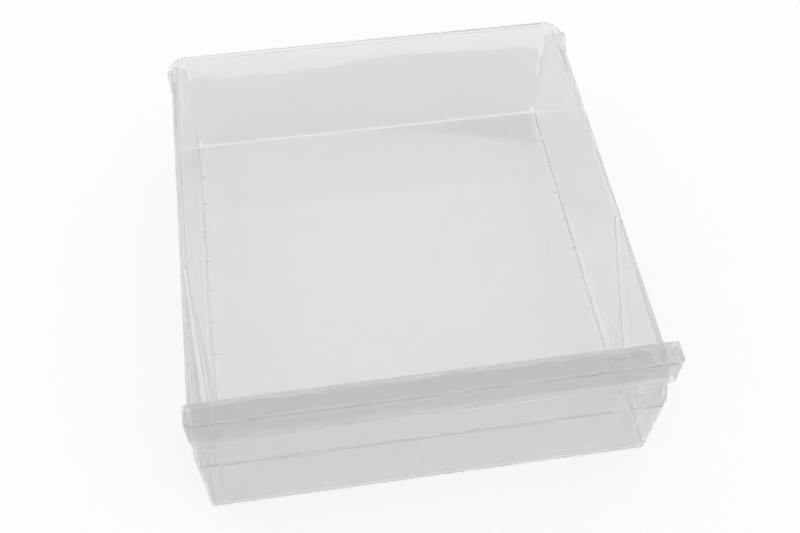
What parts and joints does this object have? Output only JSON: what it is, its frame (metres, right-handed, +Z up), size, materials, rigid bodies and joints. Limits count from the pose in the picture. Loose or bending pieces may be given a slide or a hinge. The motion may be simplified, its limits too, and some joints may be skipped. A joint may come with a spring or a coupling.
{
  "type": "freezer drawer",
  "caption": "Clear moulded freezer drawer, open at the top, with a hooked grip across its front, a rim that runs in the cabinet's guides and a sloping ledge in each side.",
  "frame": {"origin": "middle of the base, on the surface the drawer stands on", "axes": "-Y towards the grip, +Y towards the rear wall, +Z up"},
  "size_m": [0.406, 0.435, 0.161],
  "materials": {
    "clear_plastic": "clear, glossy, as moulded"
  },
  "bodies": {
    "root": {"drawer": "clear_plastic"}
  },
  "joints": []
}
